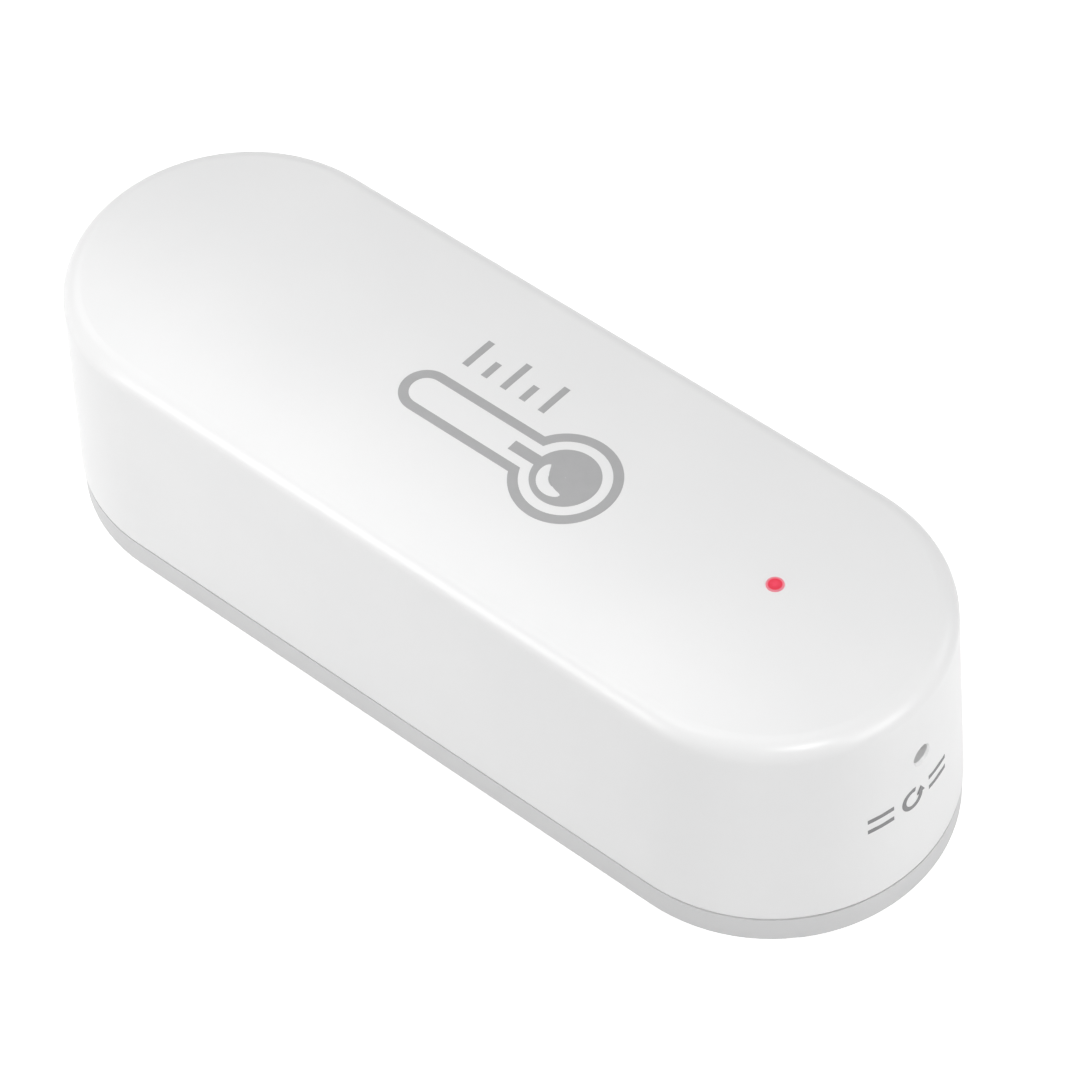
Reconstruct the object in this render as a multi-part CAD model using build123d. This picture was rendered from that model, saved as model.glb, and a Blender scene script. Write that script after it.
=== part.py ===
from build123d import *
import math
import os

# A battery-powered temperature and humidity sensor in a white pill-shaped case.
# A one-piece housing drops over a shallow base. Inside it hang a tray with two AAA
# cells, their contacts, and a circuit board with the radio, the sensor chip, the
# indicator lamp and the reset switch.
# Millimetres, +Z up. The origin is on the ground under the middle of the case, and
# +X runs along the case towards its reset end.

os.makedirs("parts", exist_ok=True)

# Cells: two AAA cells lie side by side, nose to tail, and set the size of the case
cell_diameter = 10.5
cell_length = 44.5
cell_gap = 0.3
cell_wall_gap = 0.25
cell_floor_gap = 0.5
contact_play = 0.05
sleeve_thickness = 0.1
can_wall = 0.25
can_lip = 0.9
nub_diameter = 3.8
nub_height = 1.0
seal_width = 0.6
seal_depth = 1.2
end_plate_thickness = 0.3
cell_play = 0.03

# Housing: wall, roof, draft of its sides, crown of its top and rounding of its edges
wall = 1.6
roof = 1.8
draft_angle = 2.5
crown = 1.0
rim_radius = 1.6
inner_rim_radius = 1.0
mouth_radius = 0.35
board_room = 2.8
boss_radius = 2.0
thread_play = 0.02
vent_width = 1.1
vent_height = 7.5
vent_lip_gap = 0.1
vent_step_angle = 13.0
vent_count = 5
reset_hole_radius = 0.7
reset_hole_bevel = 0.15

# Base: plate, edge, the lip that plugs the housing, and its ribs and marks
base_thickness = 2.3
base_inset = 0.05
base_edge_radius = 0.3
pad_recess_depth = 0.3
pad_recess_margin = 2.6
lip_height = 2.5
lip_thickness = 1.0
lip_play = 0.12
lip_bevel = 0.3
grip_rib_width = 1.2
grip_rib_height = 1.8
grip_rib_play = 0.02
grip_rib_x = 16.0
cradle_rib_width = 1.0
cradle_rib_x = 12.0
cradle_rib_play = 0.15
cradle_rib_margin = 1.5
mark_size = 3.0
mark_stroke = 0.6
mark_height = 0.2
mark_x = 19.0
notch_width = 7.0
notch_height = 0.8
notch_depth = 0.9

# Tray: roof over the cells, cheeks between and beside them, and walls at their ends
tray_cell_gap = 0.2
tray_roof = 0.9
tray_play = 0.4
cheek_drop = 2.3
cheek_setback = 1.8
groove_gap = 0.3
end_wall = 1.15
end_wall_play = 0.28
rail_lip = 0.5
rail_grip = 0.6
rail_side = 0.45
pad_radius = 2.0
pad_wall_gap = 0.35
pad_edge_gap = 0.2
tray_window_play = 0.6

# Contacts: sheet metal plates, and conical springs wound from round wire
spring_room = 3.0
contact_thickness = 0.4
contact_side_margin = 0.95
contact_drop = 0.3
tail_width = 1.6
tail_proud = 0.5
tail_play = 0.15
wire_radius = 0.22
coil_edge_gap = 0.1
coil_tip_radius = 1.55
coil_turns = 3

# Screws: pan heads with a cross recess
screw_radius = 0.8
screw_head_radius = 1.5
screw_head_height = 0.9
screw_hole_play = 0.2
screw_bite = 2.4
recess_length = 1.9
recess_width = 0.45
recess_depth = 0.5

# Circuit board and what is soldered on it
board_thickness = 1.0
board_play = 0.5
board_standoff = 0.4
relief_slot = 1.0
relief_reach = 3.2

lamp_x = 23.0
lamp_y = 0.7
lamp_length = 1.6
lamp_width = 0.8
lamp_base_height = 0.3
lamp_lens_height = 0.5
lamp_lens_length = 1.0

pipe_tip_radius = 0.6
pipe_flange_radius = 1.4
pipe_flange_thickness = 0.8
pipe_stub_radius = 0.9
pipe_lamp_gap = 0.3
pipe_play = 0.02
pipe_seat_depth = 0.1
pipe_proud = 0.05
collar_wall = 0.8
collar_height = 1.0

switch_width = 3.8
switch_depth = 2.6
switch_height = 2.6
switch_skin = 0.15
switch_skin_drop = 0.9
plunger_width = 1.6
plunger_height = 0.8
plunger_reach = 1.2
plunger_root = 1.0
plunger_play = 0.06
plunger_travel = 0.25
plunger_wall_gap = 0.5

sensor_size = 2.5
sensor_height = 0.9
sensor_edge_gap = 0.9
sensor_eye_radius = 0.5
sensor_eye_depth = 0.4

module_length = 16.0
module_width = 12.0
module_thickness = 0.8
module_x = -11.0
can_length = 10.5
can_side_margin = 0.5
can_height = 1.5
can_skin = 0.2
can_end_margin = 0.4
trace_width = 0.5
trace_gap = 0.7
trace_thickness = 0.1
trace_can_gap = 0.8
trace_margin = 0.7
trace_runs = 7

regulator_x = 3.0
regulator_y = 4.2
regulator_length = 2.9
regulator_width = 1.6
regulator_height = 1.1
lead_width = 0.4
lead_length = 0.6
lead_thickness = 0.15
lead_step = 0.95
inductor_x = 3.0
inductor_y = -3.2
inductor_size = 3.0
inductor_height = 1.4
inductor_corner = 0.6
store_x = 10.0
store_y = 4.0
store_length = 3.5
store_width = 2.8
store_height = 1.9
store_bevel = 0.3
chip_length = 1.6
chip_width = 0.8
capacitor_height = 0.8
resistor_height = 0.45
chip_end = 0.3
chip_step = 1.7
chip_row_x = 9.0
capacitor_row_y = -2.4
resistor_row_y = -6.0
chip_count = 5

# How far a cut runs past the face it opens
overrun = 1.0

# Heights, from the ground up
cell_radius = cell_diameter / 2
cell_axis_z = base_thickness + cell_floor_gap + cell_radius
tray_low = cell_axis_z + cell_radius + tray_cell_gap
tray_high = tray_low + tray_roof
board_low = tray_high + board_standoff
board_high = board_low + board_thickness
ceiling = board_high + board_room
case_height = ceiling + roof
lip_high = base_thickness + lip_height
tray_foot = lip_high + end_wall_play
vent_low = lip_high + vent_lip_gap

# Widths: two cells and their gaps, then the walls, which lean in by the draft
slope = math.tan(math.radians(draft_angle))
cell_y = (cell_diameter + cell_gap) / 2
cell_reach = cell_y + cell_radius
mouth_inner = cell_reach + cell_wall_gap + slope * (cell_axis_z - base_thickness)
mouth_outer = mouth_inner + wall


def cavity_radius(z):
    """Half the width of the room inside the housing at a height."""
    return mouth_inner - slope * (z - base_thickness)


# Lengths: one cell, its spring and the contacts between the tray's two end walls,
# which reach into the rounded ends until their corners are near the housing
contact_width = cell_diameter - 2 * contact_side_margin
end_wall_half = cell_y + contact_width / 2 + rail_side
bay_half = (cell_length + spring_room) / 2 + contact_play
contact_back = bay_half + contact_thickness
bay_outer = contact_back + end_wall
end_overhang = math.sqrt(cavity_radius(tray_low) ** 2 - (end_wall_half + end_wall_play) ** 2)
end_x = bay_outer - end_overhang
case_length = 2 * (end_x + mouth_outer)
cell_shift = bay_half - contact_play - cell_length / 2

# Places that several pieces share
tray_radius = cavity_radius(tray_high) - tray_play
board_radius = cavity_radius(board_high) - board_play
screw_x = bay_outer + pad_wall_gap + pad_radius
screw_reach = tray_radius - pad_radius - pad_edge_gap
screw_y = math.sqrt(screw_reach**2 - (screw_x - end_x) ** 2)
screw_places = [(i * screw_x, j * screw_y) for i in (-1, 1) for j in (-1, 1)]
screw_hole_radius = screw_radius + screw_hole_play
contact_low = tray_foot
contact_high = tray_low - contact_drop
coil_base_radius = cell_axis_z - contact_low - wire_radius - coil_edge_gap
switch_z = board_low - switch_height / 2
plunger_tip_x = end_x + cavity_radius(switch_z) - plunger_wall_gap
switch_front = plunger_tip_x - plunger_reach
switch_back = switch_front - switch_depth
sensor_x = -(end_x + board_radius - sensor_edge_gap - sensor_size / 2)


def block(low, high):
    """A box between two opposite corners."""
    size = [b - a for a, b in zip(low, high)]
    middle = [(a + b) / 2 for a, b in zip(low, high)]
    return Pos(*middle) * Box(*size)


def disc(radius, low, high, x=0, y=0):
    """An upright cylinder between two heights."""
    upright = Cylinder(radius, high - low, align=(Align.CENTER, Align.CENTER, Align.MIN))
    return Pos(x, y, low) * upright


def rod(radius, start, stop, y=0, z=0):
    """A cylinder that lies along X."""
    lying = Cylinder(radius, stop - start, align=(Align.CENTER, Align.CENTER, Align.MIN))
    return Pos(start, y, z) * Rot(0, 90, 0) * lying


def pill(radius, low, high):
    """A flat plate of the case's pill outline between two heights."""
    outline = SlotCenterToCenter(2 * end_x, 2 * radius)
    return extrude(Plane.XY.offset(low) * outline, amount=high - low)


def carried_round(half_section):
    """Carries half a cross-section along both straight sides and round both ends."""
    straight = extrude(Plane.YZ.offset(-end_x) * half_section, amount=2 * end_x)
    near = revolve(Plane.YZ.offset(end_x) * half_section, Axis((end_x, 0, 0), (0, 0, -1)), 180)
    far = revolve(Plane.YZ.offset(-end_x) * half_section, Axis((-end_x, 0, 0), (0, 0, 1)), 180)
    return straight + mirror(straight, Plane.XZ) + near + far


def turned_round(shape):
    """The same piece turned half round the middle of the case."""
    return Rot(0, 0, 180) * shape


def crowned_section(low_radius, low, high, corner):
    """Half a section with a leaning side, a rounded shoulder and a crowned top."""
    shoulder_z = high - crown
    shoulder = low_radius - slope * (shoulder_z - low)
    bow = (shoulder**2 + crown**2) / (2 * crown)
    half_turn = math.asin(shoulder / bow) / 2
    middle = (bow * math.sin(half_turn), high - bow + bow * math.cos(half_turn))
    sides = Polyline((0, high), (0, low), (low_radius, low), (shoulder, shoulder_z))
    top = ThreePointArc((shoulder, shoulder_z), middle, (0, high))
    section = make_face(sides + top)
    shoulder_corner = section.vertices().sort_by_distance((shoulder, shoulder_z, 0))[0]
    return fillet(shoulder_corner, corner)


def case_envelope():
    """The outside of the housing as one solid, from its mouth to its crowned top."""
    section = crowned_section(mouth_outer, base_thickness, case_height, rim_radius)
    foot = section.vertices().sort_by_distance((mouth_outer, base_thickness, 0))[0]
    return carried_round(fillet(foot, mouth_radius))


def vent(turn):
    """One upright slot through the end wall, square to the wall."""
    direction = math.radians(180 + turn)
    outward = (math.cos(direction), math.sin(direction), 0)
    start = cavity_radius(vent_low) - overrun
    origin = (-end_x + start * outward[0], start * outward[1], vent_low + vent_height / 2)
    plane = Plane(origin=origin, x_dir=(0, 0, 1), z_dir=outward)
    return extrude(plane * SlotOverall(vent_height, vent_width), amount=wall + 2 * overrun)


def make_housing(envelope):
    """White shell with four screw bosses, a collar for the light pipe, the reset hole and vents."""
    cavity_foot = base_thickness - overrun
    cavity = carried_round(
        crowned_section(cavity_radius(cavity_foot), cavity_foot, ceiling, inner_rim_radius)
    )
    shell = envelope - cavity
    for x, y in screw_places:
        shell += disc(boss_radius, board_high, ceiling, x, y)
        shell -= disc(screw_radius + thread_play, board_high - overrun, ceiling, x, y)
    collar_radius = pipe_flange_radius + collar_wall
    shell += disc(collar_radius, ceiling - collar_height, ceiling, lamp_x, lamp_y)
    flange_top = ceiling + pipe_seat_depth
    pocket_radius = pipe_flange_radius + pipe_play
    shell -= disc(pocket_radius, ceiling - collar_height - overrun, flange_top, lamp_x, lamp_y)
    shell -= disc(pipe_tip_radius + pipe_play, ceiling, case_height + overrun, lamp_x, lamp_y)
    wall_inside = end_x + cavity_radius(switch_z)
    wall_outside = wall_inside + wall
    shell -= rod(reset_hole_radius, wall_inside - overrun, wall_outside + overrun, 0, switch_z)
    bevel = Cone(
        reset_hole_radius,
        reset_hole_radius + 2 * reset_hole_bevel,
        2 * reset_hole_bevel,
    )
    shell -= Pos(wall_outside, 0, switch_z) * Rot(0, 90, 0) * bevel
    for step in range(vent_count):
        shell -= vent((step - (vent_count - 1) / 2) * vent_step_angle)
    return shell


def make_light_pipe(envelope):
    """Clear stepped rod that carries the lamp's light to the top and stands a little proud."""
    flange_top = ceiling + pipe_seat_depth
    lamp_top = board_high + lamp_base_height + lamp_lens_height
    tip = disc(pipe_tip_radius, flange_top, case_height + overrun, lamp_x, lamp_y)
    tip &= Pos(0, 0, pipe_proud) * envelope
    flange = disc(
        pipe_flange_radius, flange_top - pipe_flange_thickness, flange_top, lamp_x, lamp_y
    )
    stub = disc(pipe_stub_radius, lamp_top + pipe_lamp_gap, flange_top, lamp_x, lamp_y)
    return tip + flange + stub


def make_base_cover():
    """Shallow base: plate with a pad recess, a plug lip with grip ribs, and cell ribs."""
    outer = mouth_outer - base_inset
    recess = outer - pad_recess_margin
    lip_outer = cavity_radius(lip_high) - lip_play
    lip_inner = lip_outer - lip_thickness
    section = make_face(
        Polyline(
            (0, pad_recess_depth),
            (recess, pad_recess_depth),
            (recess, 0),
            (outer, 0),
            (outer, base_thickness),
            (lip_outer, base_thickness),
            (lip_outer, lip_high - lip_bevel),
            (lip_outer - lip_bevel, lip_high),
            (lip_inner, lip_high),
            (lip_inner, base_thickness),
            (0, base_thickness),
            close=True,
        )
    )
    foot = section.vertices().sort_by_distance((outer, 0, 0))[0]
    cover = carried_round(fillet(foot, base_edge_radius))
    rib_high = base_thickness + grip_rib_height
    rib_face = cavity_radius(rib_high) - grip_rib_play
    for x in (-grip_rib_x, 0, grip_rib_x):
        low = (x - grip_rib_width / 2, lip_inner, base_thickness)
        rib = block(low, (x + grip_rib_width / 2, rib_face, rib_high))
        cover += rib
        cover += mirror(rib, Plane.XZ)
    cradle_high = base_thickness + cell_floor_gap - cradle_rib_play
    cradle_half = lip_inner - cradle_rib_margin
    for x in (-cradle_rib_x, cradle_rib_x):
        cover += block(
            (x - cradle_rib_width / 2, -cradle_half, base_thickness),
            (x + cradle_rib_width / 2, cradle_half, cradle_high),
        )
    mark_high = base_thickness + mark_height
    stroke = block(
        (mark_x - mark_size / 2, cell_y - mark_stroke / 2, base_thickness),
        (mark_x + mark_size / 2, cell_y + mark_stroke / 2, mark_high),
    )
    cross_stroke = block(
        (mark_x - mark_stroke / 2, cell_y - mark_size / 2, base_thickness),
        (mark_x + mark_stroke / 2, cell_y + mark_size / 2, mark_high),
    )
    plus = stroke + cross_stroke
    minus = mirror(stroke, Plane.YZ)
    for mark in (plus, minus, turned_round(plus), turned_round(minus)):
        cover += mark
    edge = -(end_x + outer)
    cover -= block(
        (edge - overrun, -notch_width / 2, base_thickness - notch_height),
        (edge + notch_depth, notch_width / 2, base_thickness),
    )
    return cover


def make_contact_rail(side):
    """A small angled rib that holds one upright edge of a contact against the end wall."""
    edge = cell_y + side * contact_width / 2
    lip_edges = sorted((edge - side * rail_grip, edge + side * rail_side))
    web_edges = sorted((edge, edge + side * rail_side))
    web = block(
        (bay_half - rail_lip, web_edges[0], contact_low),
        (contact_back, web_edges[1], tray_low),
    )
    lip = block(
        (bay_half - rail_lip, lip_edges[0], contact_low),
        (bay_half, lip_edges[1], tray_low),
    )
    return web + lip


def make_battery_tray():
    """Tray screwed under the board: a roof, grooves over the cells and two end walls."""
    tray = pill(tray_radius, tray_low, tray_high)
    cheek_half = bay_half - cheek_setback
    cheek_low = (-cheek_half, -tray_radius, tray_low - cheek_drop)
    tray += block(cheek_low, (cheek_half, tray_radius, tray_low))
    groove = cell_radius + groove_gap
    for side in (-1, 1):
        tray -= rod(groove, -cheek_half - overrun, cheek_half + overrun, side * cell_y, cell_axis_z)
    near_wall = block(
        (contact_back, -end_wall_half, tray_foot), (bay_outer, end_wall_half, tray_low)
    )
    outer_rail = make_contact_rail(1)
    inner_rail = make_contact_rail(-1)
    near_end = near_wall + outer_rail + inner_rail
    near_end += mirror(outer_rail + inner_rail, Plane.XZ)
    far_end = near_wall + outer_rail + mirror(outer_rail, Plane.XZ)
    tray += near_end
    tray += turned_round(far_end)
    for x, y in screw_places:
        tray += disc(pad_radius, tray_low, board_low, x, y)
        tray -= disc(screw_hole_radius, tray_low - overrun, board_low + overrun, x, y)
    switch_half = switch_width / 2 + switch_skin + tray_window_play
    tray -= block(
        (switch_back - tray_window_play, -switch_half, tray_low - overrun),
        (end_x + mouth_outer, switch_half, tray_high + overrun),
    )
    sensor_half = sensor_size / 2 + tray_window_play
    tray -= block(
        (-end_x - mouth_outer, -sensor_half, tray_low - overrun),
        (sensor_x + sensor_half, sensor_half, tray_high + overrun),
    )
    for side in (-1, 1):
        tray -= tail_hole(side, tray_low - overrun, tray_high + overrun)
    return tray


def tail_hole(side, low, high):
    """The slot that a contact's tail passes through."""
    half = tail_width / 2 + tail_play
    return block(
        (bay_half - tail_play, side * cell_y - half, low),
        (contact_back + tail_play, side * cell_y + half, high),
    )


def make_tray_screws():
    """Four self-tapping screws, driven from below through tray and board into the bosses."""
    tip = board_high + screw_bite
    screw = disc(screw_radius, tray_low, tip)
    screw += disc(screw_head_radius, tray_low - screw_head_height, tray_low)
    head_low = tray_low - screw_head_height
    for long_x, long_y in ((recess_length, recess_width), (recess_width, recess_length)):
        screw -= block(
            (-long_x / 2, -long_y / 2, head_low - overrun),
            (long_x / 2, long_y / 2, head_low + recess_depth),
        )
    return Compound(children=[Pos(x, y, 0) * screw for x, y in screw_places])


def make_circuit_board():
    """Pill-shaped board with screw holes, tail slots and relief slots round the sensor."""
    board = pill(board_radius, board_low, board_high)
    low, high = board_low - overrun, board_high + overrun
    for x, y in screw_places:
        board -= disc(screw_hole_radius, low, high, x, y)
    for side in (-1, 1):
        board -= tail_hole(side, low, high)
        inner = sensor_size / 2 + sensor_edge_gap
        slot_edges = sorted((side * inner, side * (inner + relief_slot)))
        board -= block(
            (sensor_x - relief_reach / 2, slot_edges[0], low),
            (sensor_x + relief_reach / 2, slot_edges[1], high),
        )
    return board


def make_contact_plate(side):
    """Flat contact at the near end, with a tail soldered through the board."""
    plate = block(
        (bay_half, side * cell_y - contact_width / 2, contact_low),
        (contact_back, side * cell_y + contact_width / 2, contact_high),
    )
    tail = block(
        (bay_half, side * cell_y - tail_width / 2, contact_high),
        (contact_back, side * cell_y + tail_width / 2, board_high + tail_proud),
    )
    return plate + tail


def make_bridge_contact():
    """One plate across the far end that joins the two cells in series."""
    reach = cell_y + contact_width / 2
    return block((-contact_back, -reach, contact_low), (-bay_half, reach, contact_high))


def joined_arcs(start, start_way, stop, stop_way):
    """Two arcs that meet smoothly and carry one direction of travel into another."""
    gap = stop - start
    both = start_way + stop_way
    a = both.dot(both) - 4
    b = -2 * gap.dot(both)
    c = gap.dot(gap)
    reach = (-b - math.sqrt(b * b - 4 * a * c)) / (2 * a)
    middle = (start + start_way * reach + stop - stop_way * reach) / 2
    middle_way = (stop - stop_way * reach) - (start + start_way * reach)
    first = TangentArc(start, middle, tangent=start_way)
    second = TangentArc(middle, stop, tangent=middle_way)
    return [first.edge(), second.edge()]


def coil_point(turn):
    """A point on the spring's centreline and its direction, by turns from the plate."""
    rise = (spring_room - contact_play - 2 * wire_radius) / coil_turns
    taper = (coil_tip_radius - coil_base_radius) / coil_turns
    angle = 2 * math.pi * turn
    radius = coil_base_radius + taper * turn
    sine, cosine = math.sin(angle), math.cos(angle)
    place = Vector(-wire_radius - rise * turn, radius * cosine, radius * sine)
    around = 2 * math.pi * radius
    at_end = turn in (0, coil_turns)
    climb = 0 if at_end else -rise
    way = Vector(climb, taper * cosine - around * sine, taper * sine + around * cosine)
    return place, way.normalized()


def spring_path():
    """Centreline of a conical spring on a plate at the origin, which narrows towards -X."""
    quarters = 4 * coil_turns
    start, start_way = coil_point(0)
    stop, stop_way = coil_point(coil_turns)
    straight = 2 * wire_radius
    pieces = [Line(start - start_way * straight, start).edge()]
    for k in range(quarters):
        pieces += joined_arcs(*coil_point(k / 4), *coil_point((k + 1) / 4))
    pieces.append(Line(stop, stop + stop_way * straight).edge())
    return Wire(pieces)


def make_spring(path):
    """Round wire along the spring's centreline, as one unbroken tube."""
    ring = Plane(origin=path @ 0, z_dir=path % 0) * Circle(wire_radius)
    return sweep(ring, path=path)


def spring_gap(path):
    """The least gap between neighbouring turns, measured on points of the centreline."""
    steps = 64 * coil_turns
    apart = steps // (2 * coil_turns)
    places = [path @ (k / steps) for k in range(steps + 1)]
    pairs = ((p, q) for i, p in enumerate(places) for q in places[i + apart :])
    return min((p - q).length for p, q in pairs) - 2 * wire_radius


def make_cell():
    """The pieces of the cell that points to +X: sleeve, can, filling, seal and end plate."""
    front = cell_shift + cell_length / 2
    back = front - cell_length
    can_radius = cell_radius - sleeve_thickness
    can_front = front - nub_height
    can_back = back + end_plate_thickness
    inner = can_radius - can_wall
    can = rod(can_radius, can_back, can_front) + rod(nub_diameter / 2, can_front - can_wall, front)
    can -= rod(inner, can_back + can_wall, can_front - can_wall)
    can -= rod(can_radius - can_lip, can_back - overrun, can_front - can_wall)
    plate_radius = can_radius - can_lip - seal_width
    seal_front = can_back + can_wall + seal_depth
    seal = rod(inner - cell_play, can_back + can_wall + cell_play, seal_front)
    seal += rod(can_radius - can_lip - cell_play, can_back, seal_front)
    seal -= rod(plate_radius + cell_play, can_back - overrun, seal_front + overrun)
    plate = rod(plate_radius, back, seal_front)
    plate += rod(plate_radius + seal_width / 2, back, can_back - cell_play)
    core = rod(inner - cell_play, seal_front + cell_play, can_front - can_wall - cell_play)
    sleeve_back, sleeve_front = can_back, can_front
    sleeve = rod(cell_radius, sleeve_back, sleeve_front)
    sleeve -= rod(can_radius + cell_play / 2, sleeve_back - overrun, sleeve_front + overrun)
    pieces = {"sleeve": sleeve, "can": can, "filling": core, "seal": seal, "end_plate": plate}
    return {name: Pos(0, cell_y, cell_axis_z) * piece for name, piece in pieces.items()}


def make_switch():
    """Side-push reset switch under the board: body, folded steel skin and plunger."""
    half = switch_width / 2
    body_low = board_low - switch_height
    body = block((switch_back, -half, body_low + switch_skin), (switch_front, half, board_low))
    pocket_half = plunger_width / 2 + plunger_play
    pocket_rise = plunger_height / 2 + plunger_play
    pocket_back = switch_front - plunger_root - plunger_travel - plunger_play
    body -= block(
        (pocket_back, -pocket_half, switch_z - pocket_rise),
        (switch_front + overrun, pocket_half, switch_z + pocket_rise),
    )
    skin = block(
        (switch_back, -half - switch_skin, body_low),
        (switch_front, half + switch_skin, body_low + switch_skin_drop),
    )
    skin -= block(
        (switch_back - overrun, -half, body_low + switch_skin),
        (switch_front + overrun, half, body_low + switch_skin_drop + overrun),
    )
    plunger = block(
        (switch_front - plunger_root, -plunger_width / 2, switch_z - plunger_height / 2),
        (plunger_tip_x, plunger_width / 2, switch_z + plunger_height / 2),
    )
    return {
        "reset_switch_body": body,
        "reset_switch_skin": skin,
        "reset_plunger": plunger,
    }


def make_sensor_chip():
    """Sensor chip on the underside of the board, with a round eye open to the air."""
    half = sensor_size / 2
    low = board_low - sensor_height
    chip = block((sensor_x - half, -half, low), (sensor_x + half, half, board_low))
    return chip - disc(sensor_eye_radius, low - overrun, low + sensor_eye_depth, sensor_x, 0)


def make_lamp():
    """Surface-mounted indicator lamp: a pale base and a moulded lens."""
    lens_low = board_high + lamp_base_height
    base = block(
        (lamp_x - lamp_length / 2, lamp_y - lamp_width / 2, board_high),
        (lamp_x + lamp_length / 2, lamp_y + lamp_width / 2, lens_low),
    )
    lens = block(
        (lamp_x - lamp_lens_length / 2, lamp_y - lamp_width / 2, lens_low),
        (lamp_x + lamp_lens_length / 2, lamp_y + lamp_width / 2, lens_low + lamp_lens_height),
    )
    return {"lamp_base": base, "lamp_lens": lens}


def make_radio():
    """Radio module: small board, folded shield can, and the aerial's zigzag track."""
    left, right = module_x - module_length / 2, module_x + module_length / 2
    deck = board_high + module_thickness
    board = block((left, -module_width / 2, board_high), (right, module_width / 2, deck))
    can_high_x = right - can_end_margin
    can_low_x = can_high_x - can_length
    can_half = module_width / 2 - can_side_margin
    shield = block((can_low_x, -can_half, deck), (can_high_x, can_half, deck + can_height))
    shield -= block(
        (can_low_x + can_skin, -can_half + can_skin, deck - overrun),
        (can_high_x - can_skin, can_half - can_skin, deck + can_height - can_skin),
    )
    pitch = trace_width + trace_gap
    start_y = -(trace_runs - 1) * pitch / 2
    low_x = left + trace_margin
    high_x = can_low_x - trace_can_gap
    trace = None
    for k in range(trace_runs):
        y = start_y + k * pitch
        run = block(
            (low_x, y - trace_width / 2, deck), (high_x, y + trace_width / 2, deck + trace_thickness)
        )
        trace = run if trace is None else trace + run
        if k + 1 < trace_runs:
            turn_x = high_x - trace_width if k % 2 else low_x
            trace += block(
                (turn_x, y - trace_width / 2, deck),
                (turn_x + trace_width, y + pitch + trace_width / 2, deck + trace_thickness),
            )
    return {"radio_board": board, "radio_shield": shield, "radio_aerial": trace}


def make_regulator():
    """Five-legged voltage regulator: moulded body and tinned legs."""
    top = board_high + lead_thickness
    body = block(
        (regulator_x - regulator_length / 2, regulator_y - regulator_width / 2, top),
        (regulator_x + regulator_length / 2, regulator_y + regulator_width / 2, top + regulator_height),
    )
    leads = []
    for side, steps in ((-1, (-1, 0, 1)), (1, (-1, 1))):
        for step in steps:
            x = regulator_x + step * lead_step
            edge = regulator_y + side * regulator_width / 2
            ends = sorted((edge - side * lead_length / 2, edge + side * lead_length))
            leads.append(
                block((x - lead_width / 2, ends[0], board_high), (x + lead_width / 2, ends[1], top))
            )
    return {"regulator_body": body, "regulator_legs": Compound(children=leads)}


def make_inductor():
    """Square-bodied power coil with clipped corners."""
    half = inductor_size / 2
    cube = block(
        (inductor_x - half, inductor_y - half, board_high),
        (inductor_x + half, inductor_y + half, board_high + inductor_height),
    )
    return chamfer(cube.edges().filter_by(Axis.Z), inductor_corner)


def make_storage_capacitor():
    """Moulded block that evens out the cells' load, with a bevel along its top."""
    cube = block(
        (store_x - store_length / 2, store_y - store_width / 2, board_high),
        (store_x + store_length / 2, store_y + store_width / 2, board_high + store_height),
    )
    return chamfer(cube.faces().sort_by(Axis.Z)[-1].edges(), store_bevel)


def make_chip_row(row_y, height):
    """A row of small two-ended chips: their bodies, and the tinned caps at their ends."""
    bodies, caps = [], []
    for k in range(chip_count):
        x = chip_row_x + k * chip_step
        low_y, high_y = row_y - chip_length / 2, row_y + chip_length / 2
        top = board_high + height
        left, right = x - chip_width / 2, x + chip_width / 2
        bodies.append(block((left, low_y + chip_end, board_high), (right, high_y - chip_end, top)))
        caps.append(block((left, low_y, board_high), (right, low_y + chip_end, top)))
        caps.append(block((left, high_y - chip_end, board_high), (right, high_y, top)))
    return bodies, caps


def main():
    """Builds every piece and writes one file for each."""
    envelope = case_envelope()
    path = spring_path()
    spring = Pos(bay_half, -cell_y, cell_axis_z) * make_spring(path)
    capacitor_bodies, capacitor_caps = make_chip_row(capacitor_row_y, capacitor_height)
    resistor_bodies, resistor_caps = make_chip_row(resistor_row_y, resistor_height)
    nodes = {
        "housing": make_housing(envelope),
        "light_pipe": make_light_pipe(envelope),
        "base_cover": make_base_cover(),
        "battery_tray": make_battery_tray(),
        "tray_screws": make_tray_screws(),
        "circuit_board": make_circuit_board(),
        "positive_contact": make_contact_plate(1),
        "negative_contact": make_contact_plate(-1),
        "negative_spring": spring,
        "bridge_contact": make_bridge_contact(),
        "bridge_spring": turned_round(spring),
        "sensor_chip": make_sensor_chip(),
        "power_coil": make_inductor(),
        "storage_capacitor": make_storage_capacitor(),
        "capacitor_bodies": Compound(children=capacitor_bodies),
        "resistor_bodies": Compound(children=resistor_bodies),
        "chip_end_caps": Compound(children=capacitor_caps + resistor_caps),
    }
    nodes.update(make_switch())
    nodes.update(make_lamp())
    nodes.update(make_radio())
    nodes.update(make_regulator())
    for name, piece in make_cell().items():
        nodes["cell_a_" + name] = piece
        nodes["cell_b_" + name] = turned_round(piece)
    for name, shape in nodes.items():
        export_step(shape, os.path.join("parts", name + ".step"))
    print("case", round(case_length, 2), round(2 * mouth_outer, 2), round(case_height, 2))
    print("least gap between the spring's turns", round(spring_gap(path), 3))


main()
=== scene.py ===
import math

import bmesh
import bpy
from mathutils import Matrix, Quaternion, Vector


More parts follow.
